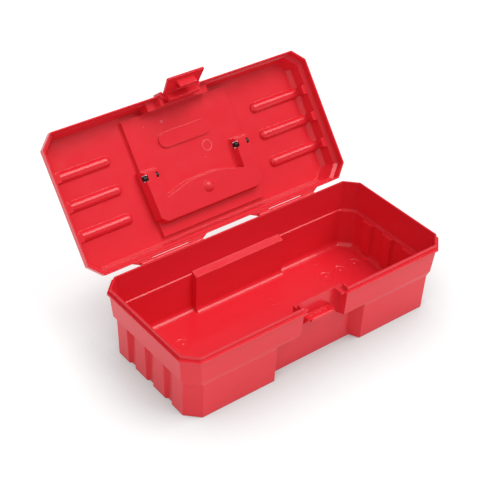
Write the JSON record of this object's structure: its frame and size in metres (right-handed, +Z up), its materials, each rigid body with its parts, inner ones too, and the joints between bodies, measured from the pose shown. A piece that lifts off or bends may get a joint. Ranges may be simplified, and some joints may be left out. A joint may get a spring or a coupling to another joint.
{
  "type": "toolbox",
  "caption": "Small moulded toolbox with a tapered open tub, a deep hinged lid, a front snap latch and a carry handle let into the lid.",
  "frame": {"origin": "on the surface the tub stands on, under the middle of the tub's bottom", "axes": "+X along the box, +Y from the latch side to the hinge side, +Z up"},
  "size_m": [0.3184, 0.2578, 0.2125],
  "materials": {
    "shell": "gloss, injection moulded",
    "handle": "satin, injection moulded",
    "pin": "drawn wire"
  },
  "bodies": {
    "tub": {"base": "shell"},
    "lid": {"lid": "shell", "hinge_pin_left": "pin", "hinge_pin_right": "pin"},
    "latch": {"latch": "shell"},
    "handle": {"handle": "handle"}
  },
  "joints": [
    {"name": "lid_hinge", "type": "hinge", "parent": "tub", "child": "lid", "pos_m": [0, 0.07593, 0.07305], "axis": [1, 0, 0], "range_deg": [0, 128.36]},
    {"name": "latch_pivot", "type": "hinge", "parent": "lid", "child": "latch", "pos_m": [0, 0.16664, 0.18838], "axis": [1, 0, 0], "range_deg": [-60, 27.8]},
    {"name": "handle_pivot", "type": "hinge", "parent": "lid", "child": "handle", "pos_m": [0, 0.13579, 0.1225], "axis": [1, 0, 0], "range_deg": [-38.36, 51.64]}
  ]
}
